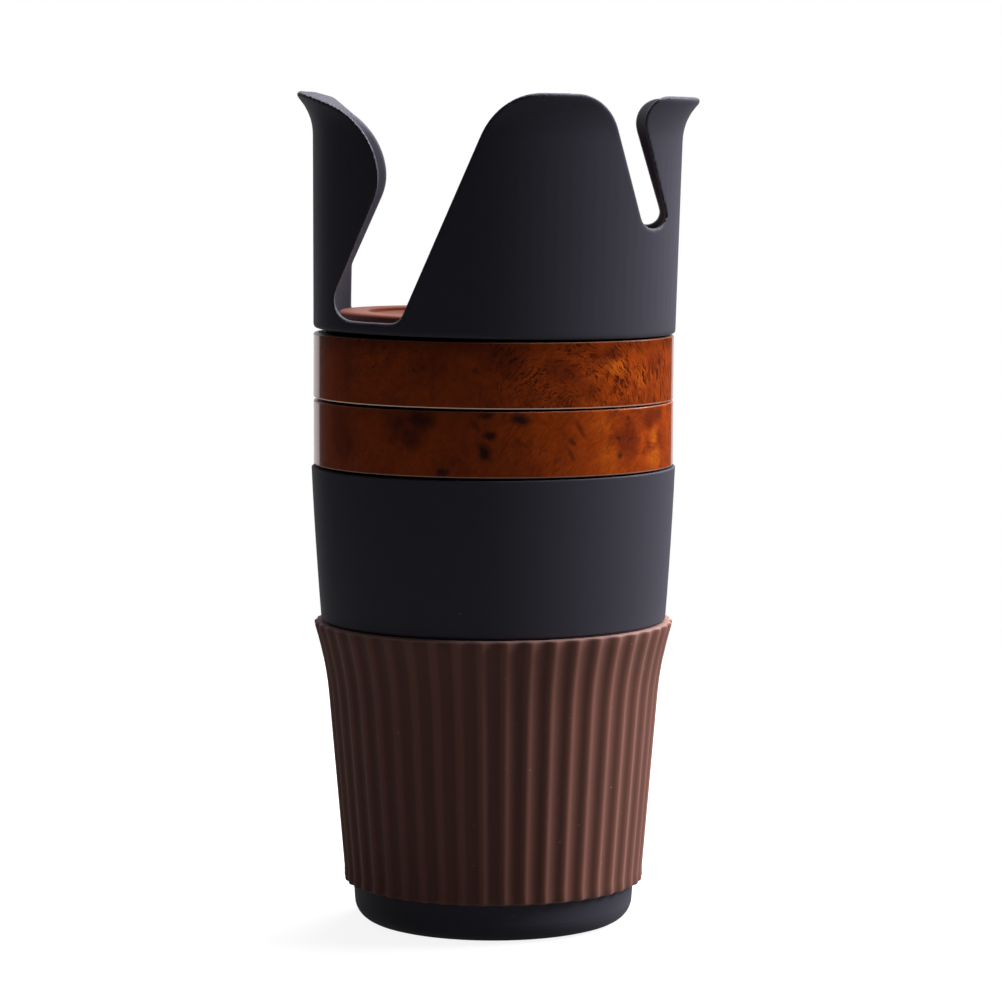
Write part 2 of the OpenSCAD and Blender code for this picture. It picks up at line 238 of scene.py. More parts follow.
def use_group(tree, group, vector, **values):
    """Puts a group into a material; an underscore in a keyword stands for a space in the input's name."""
    node = add(tree, "ShaderNodeGroup", node_tree=group)
    wire(tree, vector, node.inputs["Vector"])
    for label, value in values.items():
        socket = node.inputs[label.replace("_", " ")]
        socket.default_value = (*value, 1) if socket.type == "RGBA" else value
    return node


def start_material(name):
    """A new material with its Object coordinates and its Principled shader."""
    material = bpy.data.materials.new(name)
    material.use_nodes = True
    tree = material.node_tree
    shader = tree.nodes["Principled BSDF"]
    place = add(tree, "ShaderNodeTexCoord")
    return material, tree, shader, place.outputs["Object"]


def bump(tree, shader, height, strength, distance):
    node = add(tree, "ShaderNodeBump")
    node.inputs["Strength"].default_value = strength
    node.inputs["Distance"].default_value = distance
    wire(tree, height, node.inputs["Height"])
    wire(tree, node.outputs["Normal"], shader.inputs["Normal"])


# ---------------------------------------------------------------- shared effects

VECTOR, COLOUR, NUMBER = "NodeSocketVector", "NodeSocketColor", "NodeSocketFloat"

# Linear colours.
AMBER = (0.49, 0.070, 0.006)
RED_BROWN = (0.21, 0.027, 0.006)
KNOT = (0.040, 0.012, 0.007)
GLOW = (0.72, 0.150, 0.010)
STROKE = (0.060, 0.011, 0.003)
# Pale colour of the bands' metallic lower rim, and of the painted highlight along their top edge.
PALE_RIM_AND_HIGHLIGHT = (1.0, 0.74, 0.56)
PLASTIC_DUST = (0.25, 0.25, 0.27)
SILICONE_DUST = (0.5, 0.36, 0.33)
# Colour of the painted highlight along the sleeve's top and foot.
SILICONE_EDGE_HIGHLIGHT = (0.46, 0.27, 0.24)
COOL_GLOSS = (0.88, 0.85, 1.0, 1)
COOL_SHEEN = (0.86, 0.84, 1.0, 1)


def make_mould_skin():
    """Fine moulded skin: a slow drift of tone, a fine grain and a height for it."""
    group, source, result = new_group(
        "mould skin",
        [
            ("Vector", VECTOR, None),
            ("Colour", COLOUR, None),
            ("Drift", NUMBER, 0.1),
            ("Grain size", NUMBER, 2500.0),
            ("Dull", NUMBER, 0.6),
        ],
        [("Colour", COLOUR), ("Roughness", NUMBER), ("Height", NUMBER)],
    )
    vector = source.outputs["Vector"]
    slow = noise(group, vector, 38.0, 3.0, 0.55)
    grain = noise(group, vector, 2500.0, 1.0, 0.5)
    wire(group, source.outputs["Grain size"], grain.inputs["Scale"])
    shift = maths(group, "SUBTRACT", slow.outputs["Fac"], 0.5)
    tone = maths(group, "MULTIPLY", shift, source.outputs["Drift"])
    tone = maths(group, "ADD", tone, 1.0)
    shade = add(group, "ShaderNodeVectorMath", operation="SCALE")
    wire(group, source.outputs["Colour"], shade.inputs[0])
    wire(group, tone, shade.inputs["Scale"])
    wire(group, shade.outputs[0], result.inputs["Colour"])
    rough = maths(group, "MULTIPLY", shift, 0.12)
    rough = maths(group, "ADD", rough, source.outputs["Dull"])
    wire(group, rough, result.inputs["Roughness"])
    wire(group, grain.outputs["Fac"], result.inputs["Height"])
    return group


def make_dust():
    """Sparse tiny pale specks of dust, as a mask."""
    group, source, result = new_group(
        "dust specks",
        [
            ("Vector", VECTOR, None),
            ("Spacing", NUMBER, 260.0),
            ("Size", NUMBER, 0.06),
            ("Amount", NUMBER, 0.5),
        ],
        [("Mask", NUMBER)],
    )
    cells = add(group, "ShaderNodeTexVoronoi", feature="F1")
    wire(group, source.outputs["Vector"], cells.inputs["Vector"])
    wire(group, source.outputs["Spacing"], cells.inputs["Scale"])
    near = maths(group, "LESS_THAN", cells.outputs["Distance"], source.outputs["Size"])
    split = add(group, "ShaderNodeSeparateColor")
    wire(group, cells.outputs["Color"], split.inputs[0])
    chosen = maths(group, "LESS_THAN", split.outputs[0], source.outputs["Amount"])
    faint = maths(group, "MULTIPLY", split.outputs[1], near)
    wire(group, maths(group, "MULTIPLY", faint, chosen), result.inputs["Mask"])
    return group


def make_spot():
    """A soft tilted oval at a given place on the unrolled band."""
    group, source, result = new_group(
        "soft spot",
        [
            ("Vector", VECTOR, None),
            ("Place", VECTOR, None),
            ("Size", VECTOR, None),
            ("Turn", NUMBER, 0.0),
            ("Depth", NUMBER, 1.0),
        ],
        [("Mask", NUMBER)],
    )
    away = add(group, "ShaderNodeVectorMath", operation="SUBTRACT")
    wire(group, source.outputs["Vector"], away.inputs[0])
    wire(group, source.outputs["Place"], away.inputs[1])
    turned_back = add(group, "ShaderNodeVectorRotate", rotation_type="Z_AXIS")
    wire(group, away.outputs[0], turned_back.inputs["Vector"])
    wire(group, source.outputs["Turn"], turned_back.inputs["Angle"])
    share = add(group, "ShaderNodeVectorMath", operation="DIVIDE")
    wire(group, turned_back.outputs[0], share.inputs[0])
    wire(group, source.outputs["Size"], share.inputs[1])
    far = add(group, "ShaderNodeVectorMath", operation="LENGTH")
    wire(group, share.outputs[0], far.inputs[0])
    near = band_of(group, far.outputs["Value"], 0.2, 1.15, 1.0, 0.0)
    wire(group, maths(group, "MULTIPLY", near, source.outputs["Depth"]), result.inputs["Mask"])
    return group


def make_sweep():
    """Fine dark strokes that sweep round a centre on the unrolled band."""
    group, source, result = new_group(
        "swept strokes",
        [("Vector", VECTOR, None), ("Centre", VECTOR, None), ("Amount", NUMBER, 1.0)],
        [("Mask", NUMBER)],
    )
    middle, full, none = 0.030, 0.024, 0.038  # where along the band the strokes show, in metres
    away = add(group, "ShaderNodeVectorMath", operation="SUBTRACT")
    wire(group, source.outputs["Vector"], away.inputs[0])
    wire(group, source.outputs["Centre"], away.inputs[1])
    far = add(group, "ShaderNodeVectorMath", operation="LENGTH")
    wire(group, away.outputs[0], far.inputs[0])
    split = add(group, "ShaderNodeSeparateXYZ")
    wire(group, away.outputs[0], split.inputs[0])
    bearing = maths(group, "ARCTAN2", split.outputs[0], split.outputs[1])
    polar = add(group, "ShaderNodeCombineXYZ")
    wire(group, far.outputs["Value"], polar.inputs[0])
    wire(group, maths(group, "MULTIPLY", bearing, 3.4 * MM), polar.inputs[1])
    fine = noise(group, polar.outputs[0], 2300.0, 2.5, 0.6, 0.8)
    strokes = band_of(group, fine.outputs["Fac"], 0.46, 0.62)
    patch = noise(group, source.outputs["Vector"], 110.0, 2.0, 0.5)
    patchy = band_of(group, patch.outputs["Fac"], 0.36, 0.56, 0.35, 1.0)
    split_place = add(group, "ShaderNodeSeparateXYZ")
    wire(group, source.outputs["Vector"], split_place.inputs[0])
    side = maths(group, "ABSOLUTE", maths(group, "SUBTRACT", split_place.outputs[0], middle))
    near = band_of(group, side, full, none, 1.0, 0.0)
    mask = maths(group, "MULTIPLY", maths(group, "MULTIPLY", strokes, patchy), near)
    wire(group, maths(group, "MULTIPLY", mask, source.outputs["Amount"]), result.inputs["Mask"])
    return group


def make_burl():
    """Burl wood: amber ground, red-brown clouds, upright streaks, curly fibres and dark knots.

    The clouds, knots, glows and strokes of the front come in as masks.
    """
    group, source, result = new_group(
        "burl wood",
        [
            ("Vector", VECTOR, None),
            ("Amber", COLOUR, None),
            ("Red brown", COLOUR, None),
            ("Dark", COLOUR, None),
            ("Clouds", NUMBER, 0.0),
            ("Knots", NUMBER, 0.0),
            ("Glows", NUMBER, 0.0),
            ("Strokes", NUMBER, 0.0),
            ("Curl", NUMBER, 0.5),
        ],
        [("Colour", COLOUR), ("Height", NUMBER)],
    )
    vector = source.outputs["Vector"]
    # The fibres curl, because what they read is pushed about by a slow noise.
    push = noise(group, vector, 90.0, 3.0, 0.6)
    away = add(group, "ShaderNodeVectorMath", operation="SUBTRACT")
    wire(group, push.outputs["Color"], away.inputs[0])
    away.inputs[1].default_value = (0.5, 0.5, 0.5)
    reach = add(group, "ShaderNodeVectorMath", operation="SCALE")
    wire(group, away.outputs[0], reach.inputs[0])
    reach.inputs["Scale"].default_value = 0.014
    pushed = add(group, "ShaderNodeVectorMath", operation="ADD")
    wire(group, vector, pushed.inputs[0])
    wire(group, reach.outputs[0], pushed.inputs[1])
    clouds = noise(group, pushed.outputs[0], 70.0, 4.0, 0.6, 0.4)
    cloud = band_of(group, clouds.outputs["Fac"], 0.46, 0.74, 0.0, 0.62)
    cloud = maths(group, "MAXIMUM", cloud, source.outputs["Clouds"])
    upright = add(group, "ShaderNodeMapping")
    wire(group, vector, upright.inputs["Vector"])
    upright.inputs["Scale"].default_value = (1.0, 1.0, 0.12)
    streak = noise(group, upright.outputs[0], 260.0, 2.0, 0.5)
    streaks = band_of(group, streak.outputs["Fac"], 0.35, 0.7, -0.06, 0.16)
    cloud = maths(group, "ADD", cloud, streaks, clamp=True)
    cloud = maths(group, "MULTIPLY", cloud, maths(group, "SUBTRACT", 1.0, source.outputs["Glows"]))
    ground = blend_colour(group, source.outputs["Glows"], source.outputs["Amber"], GLOW)
    colour = blend_colour(group, cloud, ground, source.outputs["Red brown"])
    squeeze = add(group, "ShaderNodeMapping")
    wire(group, pushed.outputs[0], squeeze.inputs["Vector"])
    squeeze.inputs["Scale"].default_value = (1.0, 1.0, 0.3)
    squeeze.inputs["Rotation"].default_value = (0.5, 0.6, 0.2)
    fibre = noise(group, squeeze.outputs[0], 1500.0, 2.0, 0.6, 1.0)
    fibres = band_of(group, fibre.outputs["Fac"], 0.54, 0.68)
    patch = noise(group, vector, 55.0, 2.0, 0.5)
    curly = band_of(group, patch.outputs["Fac"], 0.42, 0.62, 0.15, 1.0)
    strokes = maths(group, "MULTIPLY", maths(group, "MULTIPLY", fibres, curly), source.outputs["Curl"])
    strokes = maths(group, "MAXIMUM", strokes, source.outputs["Strokes"])
    colour = blend_colour(group, strokes, colour, STROKE)
    mottle = noise(group, pushed.outputs[0], 420.0, 3.0, 0.6)
    soft = band_of(group, mottle.outputs["Fac"], 0.3, 0.7, 0.86, 1.12)
    shade = add(group, "ShaderNodeVectorMath", operation="SCALE")
    wire(group, colour, shade.inputs[0])
    wire(group, soft, shade.inputs["Scale"])
    spot = maths(group, "MULTIPLY", source.outputs["Knots"], 0.95, clamp=True)
    colour = blend_colour(group, spot, shade.outputs[0], source.outputs["Dark"])
    wire(group, colour, result.inputs["Colour"])
    wire(group, fibre.outputs["Fac"], result.inputs["Height"])
    return group


mould_skin = make_mould_skin()
dust = make_dust()
burl = make_burl()
soft_spot = make_spot()
swept = make_sweep()

# ---------------------------------------------------------------- materials


def soft_touch(name, colour, dull, sheen):
    """Matt soft-touch moulding with a fine grain and a little dust."""
    material, tree, shader, place = start_material(name)
    skin = use_group(tree, mould_skin, place, Colour=colour, Drift=0.12, Dull=dull)
    specks = use_group(tree, dust, place, Spacing=260.0, Size=0.045, Amount=0.22)
    shade = blend_colour(tree, specks.outputs["Mask"], skin.outputs["Colour"], PLASTIC_DUST)
    wire(tree, shade, shader.inputs["Base Color"])
    wire(tree, skin.outputs["Roughness"], shader.inputs["Roughness"])
    shader.inputs["Specular IOR Level"].default_value = 0.38
    shader.inputs["Specular Tint"].default_value = COOL_GLOSS
    shader.inputs["Sheen Weight"].default_value = sheen
    shader.inputs["Sheen Roughness"].default_value = 0.45
    shader.inputs["Sheen Tint"].default_value = COOL_SHEEN
    bump(tree, shader, skin.outputs["Height"], 0.12, 0.00006)
    return material


def silicone(name, colour, dull, speck_amount, ribbed=False):
    """Matt silicone rubber with pale dust; on a ribbed sleeve, painted shading makes the rib crests paler
    than their grooves, and both edges get a painted highlight.
    """
    material, tree, shader, place = start_material(name)
    skin = use_group(tree, mould_skin, place, Colour=colour, Drift=0.16, Dull=dull, Grain_size=1500.0)
    specks = use_group(tree, dust, place, Spacing=420.0, Size=0.07, Amount=speck_amount)
    tone = skin.outputs["Colour"]
    if ribbed:
        split = add(tree, "ShaderNodeSeparateXYZ")
        wire(tree, place, split.inputs[0])
        x, y, z = split.outputs
        turn = maths(tree, "ARCTAN2", x, maths(tree, "MULTIPLY", y, -1.0))
        wave = maths(tree, "MULTIPLY", maths(tree, "COSINE", maths(tree, "MULTIPLY", turn, RIBS)), -1.0)
        # Painted shading: the rib crests are made paler and the grooves darker.
        level = band_of(tree, wave, -0.3, 1.0, 0.94, 1.42)
        rib_shading = add(tree, "ShaderNodeVectorMath", operation="SCALE")
        wire(tree, tone, rib_shading.inputs[0])
        wire(tree, level, rib_shading.inputs["Scale"])
        # Painted highlight: a pale line along the sleeve's top and a fainter one along its foot.
        top = band_of(tree, z, (SLEEVE_TOP - 0.75) * MM, (SLEEVE_TOP - 0.25) * MM, 0.0, 0.55)
        foot = band_of(tree, z, (SLEEVE_FOOT + 0.2) * MM, (SLEEVE_FOOT + 0.8) * MM, 0.25, 0.0)
        tone = blend_colour(tree, maths(tree, "ADD", top, foot), rib_shading.outputs[0], SILICONE_EDGE_HIGHLIGHT)
    shade = blend_colour(tree, specks.outputs["Mask"], tone, SILICONE_DUST)
    wire(tree, shade, shader.inputs["Base Color"])
    wire(tree, skin.outputs["Roughness"], shader.inputs["Roughness"])
    shader.inputs["Specular IOR Level"].default_value = 0.3
    shader.inputs["Sheen Weight"].default_value = 0.08
    bump(tree, shader, skin.outputs["Height"], 0.2, 0.00008)
    return material


def lacquered_burl(name, start_z, lean_angle, curl, sweep, painted_top_shade, bright_foot, knots, clouds, glows):
    """Burl under clear lacquer with bright edges: the lower edge is a pale metallic rim, the top edge
    gets a faint painted highlight, and painted shade darkens the band towards its top, under the part
    above it.

    Each knot, cloud or glow is (place along the front, height, half width, half height, turn in
    degrees, depth), in millimetres on the unrolled band, from the middle of the front and the band's
    lower edge. sweep is the centre of the swept strokes, in the same way, and their depth.
    """
    material, tree, shader, place = start_material(name)
    split = add(tree, "ShaderNodeSeparateXYZ")
    wire(tree, place, split.inputs[0])
    x, y, z = split.outputs
    bearing = maths(tree, "ARCTAN2", x, maths(tree, "MULTIPLY", y, -1.0))
    across = maths(tree, "MULTIPLY", bearing, BAND_R * MM)
    tilt = maths(tree, "MULTIPLY", x, math.tan(math.radians(lean_angle)))
    up = maths(tree, "SUBTRACT", maths(tree, "ADD", z, tilt), start_z * MM)
    flat = add(tree, "ShaderNodeCombineXYZ")
    wire(tree, across, flat.inputs[0])
    wire(tree, up, flat.inputs[1])
    warp = noise(tree, place, 330.0, 3.0, 0.6)
    away = add(tree, "ShaderNodeVectorMath", operation="SUBTRACT")
    wire(tree, warp.outputs["Color"], away.inputs[0])
    away.inputs[1].default_value = (0.5, 0.5, 0.5)
    flatten = add(tree, "ShaderNodeVectorMath", operation="MULTIPLY")
    wire(tree, away.outputs[0], flatten.inputs[0])
    flatten.inputs[1].default_value = (0.0028, 0.0028, 0.0)
    fuzzy = add(tree, "ShaderNodeVectorMath", operation="ADD")
    wire(tree, flat.outputs[0], fuzzy.inputs[0])
    wire(tree, flatten.outputs[0], fuzzy.inputs[1])
    masks = []
    for spots in (knots, clouds, glows):
        total = 0.0
        for along, height, half_w, half_h, turn, depth in spots:
            spot = use_group(
                tree,
                soft_spot,
                fuzzy.outputs[0],
                Place=(along * MM, height * MM, 0.0),
                Size=(half_w * MM, half_h * MM, 1.0),
                Turn=math.radians(turn),
                Depth=depth,
            )
            total = maths(tree, "MAXIMUM", spot.outputs["Mask"], total)
        masks.append(total)
    wood = use_group(tree, burl, place, Amber=AMBER, Red_brown=RED_BROWN, Dark=KNOT, Curl=curl)
    wire(tree, masks[0], wood.inputs["Knots"])
    wire(tree, masks[1], wood.inputs["Clouds"])
    wire(tree, masks[2], wood.inputs["Glows"])
    along, height, amount = sweep
    centre = (along * MM, height * MM, 0.0)
    strokes = use_group(tree, swept, fuzzy.outputs[0], Centre=centre, Amount=amount)
    wire(tree, strokes.outputs["Mask"], wood.inputs["Strokes"])
    # The lower edge is a pale metallic rim; the top edge gets a faint pale line of the same colour, a
    # painted highlight.
    low_edge = band_of(tree, up, 0.24 * MM, 0.38 * MM, bright_foot, 0.0)
    painted_top_highlight = band_of(tree, up, (BAND_H - 0.22) * MM, (BAND_H - 0.10) * MM)
    edge = maths(tree, "MAXIMUM", low_edge, maths(tree, "MULTIPLY", painted_top_highlight, 0.15))
    shaded = add(tree, "ShaderNodeVectorMath", operation="SCALE")
    wire(tree, wood.outputs["Colour"], shaded.inputs[0])
    # Painted shade: the wood is darkened towards the band's top, where the part above shades it.
    top_shade_scale = band_of(tree, up, (BAND_H - 4.5) * MM, (BAND_H - 0.8) * MM, 1.0, 1.0 - painted_top_shade)
    wire(tree, top_shade_scale, shaded.inputs["Scale"])
    wire(tree, blend_colour(tree, edge, shaded.outputs[0], PALE_RIM_AND_HIGHLIGHT), shader.inputs["Base Color"])
    wire(tree, low_edge, shader.inputs["Metallic"])
    low_rim = band_of(tree, up, 0.25 * MM, 0.5 * MM)
    high_rim = band_of(tree, up, (BAND_H - 0.45) * MM, (BAND_H - 0.2) * MM, 1.0, 0.3)
    inside_rims = maths(tree, "MULTIPLY", low_rim, high_rim)
    wire(tree, maths(tree, "MULTIPLY", inside_rims, 0.9), shader.inputs["Coat Weight"])
    shader.inputs["Roughness"].default_value = 0.35
    shader.inputs["Specular IOR Level"].default_value = 0.1
    shader.inputs["Coat Roughness"].default_value = 0.03
    return material


def turned_steel(name):
    material, tree, shader, place = start_material(name)
    grey = (0.56, 0.57, 0.58)
    skin = use_group(tree, mould_skin, place, Colour=grey, Drift=0.1, Dull=0.28, Grain_size=4000.0)
    wire(tree, skin.outputs["Colour"], shader.inputs["Base Color"])
    wire(tree, skin.outputs["Roughness"], shader.inputs["Roughness"])
    shader.inputs["Metallic"].default_value = 1.0
    bump(tree, shader, skin.outputs["Height"], 0.1, 0.00002)
    return material


def acetal(name):
    material, tree, shader, place = start_material(name)
    ivory = (0.76, 0.73, 0.65)
    skin = use_group(tree, mould_skin, place, Colour=ivory, Drift=0.06, Dull=0.38)
    wire(tree, skin.outputs["Colour"], shader.inputs["Base Color"])
    wire(tree, skin.outputs["Roughness"], shader.inputs["Roughness"])
    bump(tree, shader, skin.outputs["Height"], 0.1, 0.00003)
    return material


soft_navy = soft_touch("soft_navy", (0.057, 0.055, 0.074), 0.6, 0.05)
tray_navy = soft_touch("tray_navy", (0.036, 0.036, 0.043), 0.5, 0.04)
cocoa_silicone = silicone("cocoa_silicone", (0.205, 0.084, 0.064), 0.62, 0.45, ribbed=True)
brick_silicone = silicone("brick_silicone", (0.215, 0.046, 0.019), 0.46, 0.1)
upper_burl = lacquered_burl(
    "upper_burl",
    start_z=UPPER_Z,
    lean_angle=UPPER_LEAN,
    curl=0.6,
    sweep=(16.0, -3.0, 0.95),
    painted_top_shade=0.45,
    bright_foot=1.0,
    knots=[
        (-4.0, 8.6, 1.6, 1.2, 0, 0.5),
        (-24.0, 10.2, 1.8, 2.2, 0, 0.3),
        (27.5, 9.6, 1.6, 0.7, 20, 0.5),
        (33.0, 6.0, 1.2, 0.7, -30, 0.4),
        (10.5, 6.3, 0.8, 0.6, 0, 0.5),
        (9.0, 3.5, 2.2, 1.4, 10, 0.35),
        (90.0, 8.0, 1.8, 1.6, 0, 0.8),
        (-70.0, 5.0, 2.0, 1.5, 10, 0.8),
        (118.0, 10.0, 1.4, 1.2, 0, 0.9),
    ],
    clouds=[
        (-14.0, 9.0, 8.0, 5.0, 0, 0.55),
        (3.0, 10.5, 7.0, 4.5, 0, 0.85),
        (15.0, 8.5, 7.5, 4.0, 20, 0.85),
        (22.5, 4.5, 4.5, 3.5, 30, 0.7),
        (27.0, 11.5, 6.0, 2.4, -10, 0.9),
        (44.0, 10.0, 6.0, 3.6, 0, 0.75),
        (-38.0, 8.0, 5.0, 6.0, 0, 0.5),
    ],
    glows=[
        (30.0, 9.0, 5.5, 2.2, 12, 0.8),
        (38.0, 6.0, 4.5, 2.0, 30, 0.45),
        (24.0, 7.0, 4.0, 1.8, -20, 0.3),
    ],
)
lower_burl = lacquered_burl(
    "lower_burl",
    start_z=LOWER_Z,
    lean_angle=LOWER_LEAN,
    curl=0.35,
    sweep=(40.0, -14.0, 0.4),
    painted_top_shade=0.12,
    bright_foot=0.5,
    knots=[
        (-0.9, 9.5, 2.1, 1.5, 15, 1.0),
        (-1.8, 5.6, 2.2, 2.6, -20, 1.0),
        (-1.6, 14.0, 2.4, 1.2, 0, 0.85),
        (-4.2, 11.6, 2.0, 1.2, 40, 0.45),
        (-16.0, 12.9, 4.4, 3.0, 0, 0.8),
        (-18.5, 8.4, 3.4, 3.2, 0, 0.5),
        (-22.0, 12.0, 1.8, 3.6, 0, 0.4),
        (-11.5, 1.3, 2.0, 1.5, 0, 0.9),
        (6.0, 13.0, 3.2, 1.8, 10, 1.0),
        (20.3, 10.4, 0.8, 3.4, -35, 0.55),
        (18.3, 7.9, 0.9, 1.3, -30, 0.8),
        (17.4, 5.2, 0.7, 3.0, -20, 0.55),
        (6.0, 8.0, 0.7, 3.0, -50, 0.4),
        (31.0, 4.6, 1.0, 0.8, 0, 0.8),
        (30.6, 8.0, 1.2, 0.7, 45, 0.7),
        (33.6, 12.4, 0.9, 0.8, 0, 0.6),
        (-37.0, 6.0, 2.2, 2.4, 0, 0.35),
        (75.0, 6.0, 2.4, 2.0, 0, 0.9),
        (100.0, 11.0, 1.8, 1.6, 0, 0.9),
        (-85.0, 8.0, 2.6, 2.2, 0, 0.9),
        (-108.0, 4.0, 1.6, 1.4, 0, 0.8),
    ],
    clouds=[
        (33.0, 8.0, 5.5, 7.5, 10, 0.95),
        (42.5, 12.2, 8.0, 3.8, -10, 1.0),
        (47.5, 7.5, 2.0, 4.0, 0, 0.7),
        (-20.0, 11.0, 7.0, 6.0, 0, 0.7),
        (-10.0, 4.0, 5.0, 3.5, 0, 0.3),
        (-40.0, 8.0, 7.0, 9.0, 0, 0.6),
    ],
    glows=[
        (43.8, 8.0, 2.4, 3.0, 20, 0.8),
        (44.5, 3.2, 5.0, 3.0, 0, 0.8),
        (28.0, 4.0, 5.0, 4.0, 0, 0.4),
        (25.5, 12.0, 5.0, 3.0, 0, 0.35),
    ],
)
steel = turned_steel("turned_steel")
white_acetal = acetal("white_acetal")

# ---------------------------------------------------------------- pieces


def share_by_height(piece, name, low, high, low_share, high_share):
    """A vertex group whose weight goes in steps from low_share at height low to high_share at high."""
    steps = 8
    group = piece.vertex_groups.new(name=name)
    levels = [[] for _ in range(steps + 1)]
    for point in piece.data.vertices:
        part = (point.co.z / MM - low) / (high - low)
        levels[round(min(1.0, max(0.0, part)) * steps)].append(point.index)
    for step, points in enumerate(levels):
        if points:
            group.add(points, low_share + (high_share - low_share) * step / steps, "REPLACE")
    return name


def make_petalled_cup():
    """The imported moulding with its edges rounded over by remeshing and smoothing.

    Two rounds, the first on a finer mesh, keep the slanting edges straight while they are rounded.
    The foot is smoothed less, and the lip gets back what the smoothing takes off it.
    """
    piece = merged_copy("crown_cup", "petalled_cup")
    foot_end, lip_start, lip_end = 139.5, 184.0, 188.5
    for voxel, rounds in ((0.30, 12), (0.42, 12)):
        finish_with(piece, "REMESH", mode="VOXEL", voxel_size=voxel * MM, adaptivity=0.0)
        edges_only = share_by_height(piece, "above the foot", CROWN_Z, foot_end, 0.3, 1.0)
        finish_with(piece, "SMOOTH", factor=0.5, iterations=rounds, vertex_group=edges_only)
    lip_only = share_by_height(piece, "lip", lip_start, lip_end, 0.0, 1.0)
    finish_with(piece, "DISPLACE", strength=0.09 * MM, mid_level=0.0, vertex_group=lip_only)
    finish_with(piece, "DECIMATE", decimate_type="COLLAPSE", ratio=0.4)
    smooth(piece, 60)
    return piece


dress(make_petalled_cup(), soft_navy, "crown", "crown_cup")


def sleeve_crest(z):
    """Radius of the rib crests at height z: a straight taper, then a flare towards the top."""
    foot_r, taper, taper_z, flare_z, flare = 34.6, 0.0855, 12.1, 52, 156
    return foot_r + taper * max(0.0, z - taper_z) + max(0.0, z - flare_z) ** 2 / flare


def make_sleeve():
    """One rib is shaped from a grid that runs round its section, then spun into the whole sleeve."""
    low, high, wall, lip, steps = SLEEVE_FOOT, SLEEVE_TOP, 2.35, 0.7, 26
    heights = [low + lip + (high - low - 2 * lip) * i / steps for i in range(steps + 1)]
    section = []  # (height, depth behind the crest, how much of the rib shows)
    section += [(low, 1.5, 0.3), (low, lip, 0.9), (low + lip * 0.3, lip * 0.3, 1)]
    section += [(z, 0.0, 1) for z in heights]
    section += [(high - lip * 0.3, lip * 0.3, 1), (high, lip, 0.9), (high, 1.5, 0.3)]
    section += [(high, wall, 0)]
    section += [(z, wall, 0) for z in (60, 52, 30, 12)]
    section += [(low, wall, 0)]
    rows, across = len(section), 12
    select_none()
    bpy.ops.mesh.primitive_grid_add(x_subdivisions=across, y_subdivisions=rows, size=2)
    piece = bpy.context.object
    piece.name = piece.data.name = "grip_sleeve_ribs"
    pitch = math.tau / RIBS
    for point in piece.data.vertices:
        share = (point.co.x + 1) / 2
        row = round((point.co.y + 1) / 2 * rows)
        z, depth, shows = section[row % rows]
        angle = (share - 0.5) * pitch
        valley = RIB_DEPTH * abs(math.sin(math.pi * (share - 0.5))) ** 1.6
        r = (sleeve_crest(z) - depth - valley * shows) * MM
        point.co = (r * math.cos(angle), r * math.sin(angle), z * MM)
    take_up(piece)
    bpy.ops.object.mode_set(mode="EDIT")
    bpy.ops.mesh.select_all(action="SELECT")
    bpy.ops.mesh.spin(steps=RIBS, dupli=True, angle=math.tau, center=(0, 0, 0), axis=(0, 0, 1))
    bpy.ops.mesh.select_all(action="SELECT")
    bpy.ops.mesh.remove_doubles(threshold=CLOSE_BETWEEN_RIBS)
    bpy.ops.mesh.normals_make_consistent(inside=False)
    bpy.ops.object.mode_set(mode="OBJECT")
    smooth(piece, 50)
    return piece


dress(make_sleeve(), cocoa_silicone, "base", "grip_sleeve")


def lean(piece, z, angle, shift=0.0):
    """Stands a piece that was made on the floor at height z, leaning to the right."""
    take_up(piece)
    piece.rotation_euler = (0, math.radians(angle), 0)
    piece.location = (shift * MM, 0, z * MM)
    bpy.ops.object.transform_apply(location=True, rotation=True, scale=True)


def make_band(name, z, angle):
    """A wood band with rounded edges."""
    r, r_in, h, edge = BAND_R, BAND_R - BAND_WALL, BAND_H, 0.4
    section = [(r_in, 0)]
    section += corner(r - edge, edge, edge, -90, 5)
    section += corner(r - edge, h - edge, edge, 0, 5)
    section += [(r_in, h)]
    piece = turned(name, section, 256)
    lean(piece, z, angle)
    smooth(piece, 40)
    return piece


lower_band = make_band("lower_wood_band", LOWER_Z, LOWER_LEAN)
dress(lower_band, lower_burl, "lower_layer", "lower_band")
upper_band = make_band("upper_wood_band", UPPER_Z, UPPER_LEAN)
dress(upper_band, upper_burl, "upper_layer", "upper_band")


def cut_round(piece, x, r, low, high):
    """Cuts an upright round pocket out of a piece."""
    select_none()
    middle = (x * MM, 0, (low + high) / 2 * MM)
    bpy.ops.mesh.primitive_cylinder_add(
        vertices=48, radius=r * MM, depth=(high - low) * MM, location=middle
    )
    cutter = bpy.context.object
    finish_with(piece, "BOOLEAN", object=cutter, operation="DIFFERENCE", solver="EXACT")
    bpy.data.objects.remove(cutter)


